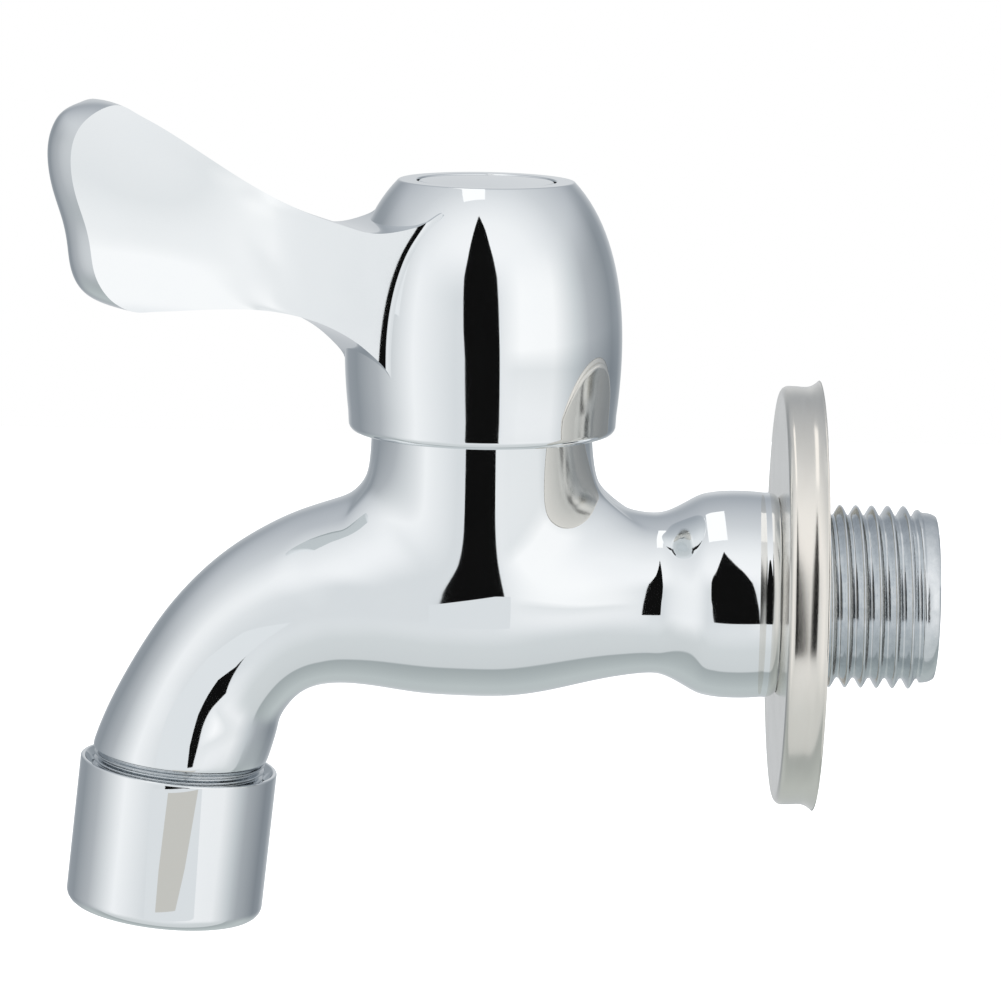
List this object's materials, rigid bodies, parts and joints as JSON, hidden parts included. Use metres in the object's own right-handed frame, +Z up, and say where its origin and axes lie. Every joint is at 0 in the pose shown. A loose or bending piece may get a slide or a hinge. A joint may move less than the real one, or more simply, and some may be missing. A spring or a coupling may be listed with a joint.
{
  "type": "wall-mounted utility sink tap",
  "caption": "Wall-mounted chromed utility sink tap with a quarter-turn lever on a bell-shaped hub, a bent spout with a screwed aerator, a threaded inlet tail and a loose wall flange.",
  "frame": {"origin": "on the axis of the inlet thread, in the plane of the wall that the flange rests on", "axes": "+X along the inlet into the wall, +Z up, +Y to the left of someone facing the wall"},
  "size_m": [0.0998, 0.0494, 0.0955],
  "materials": {
    "chromed_brass": "mirror polished chrome plate",
    "chromed_zinc": "mirror polished chrome plate",
    "chromed_plastic": "polished chrome plate",
    "stainless_sheet": "polished stainless sheet",
    "bare_brass": "turned",
    "rubber": "moulded, matt",
    "alumina": "lapped",
    "slip_plastic": "waxy",
    "spring_steel": "plain",
    "acetal": "moulded"
  },
  "bodies": {
    "tap_body": {"valve_body": "chromed_brass", "headwork_body": "bare_brass", "neck_seal": "rubber", "seat_seal": "rubber", "fixed_disc": "alumina"},
    "handle": {"handle_lever": "chromed_zinc", "handle_cap": "chromed_plastic", "handle_screw": "spring_steel", "screw_washer": "spring_steel", "spindle": "bare_brass", "spindle_orings": "rubber", "stop_ring": "spring_steel", "spindle_clip": "spring_steel", "friction_washer": "slip_plastic", "moving_disc": "alumina"},
    "flange": {"wall_flange": "stainless_sheet"},
    "aerator_insert": {"aerator_gasket": "rubber", "inlet_screen": "spring_steel", "aerator_core": "acetal", "diffuser_plate": "acetal", "outlet_grid": "acetal"},
    "aerator_shell": {"aerator_housing": "chromed_brass"}
  },
  "joints": [
    {"name": "handle_turn", "type": "hinge", "parent": "tap_body", "child": "handle", "pos_m": [-0.0385, 0, 0], "axis": [0, 0, 1], "range_deg": [-22, 68]},
    {"name": "flange_slide", "type": "slide", "parent": "tap_body", "child": "flange", "axis": [1, 0, 0], "range_m": [0, 0.017]},
    {"name": "aerator_drop", "type": "slide", "parent": "tap_body", "child": "aerator_insert", "axis": [-0.0993, 0, -0.9951], "range_m": [0, 0.0041]},
    {"name": "aerator_turn", "type": "hinge", "parent": "aerator_insert", "child": "aerator_shell", "pos_m": [-0.0726, 0, -0.0196], "axis": [-0.0993, 0, -0.9951], "range_deg": [0, 1440]}
  ],
  "couplings": [
    {"joint": "aerator_drop", "follows": "aerator_turn", "m_per_rad": 0.00015915}
  ]
}
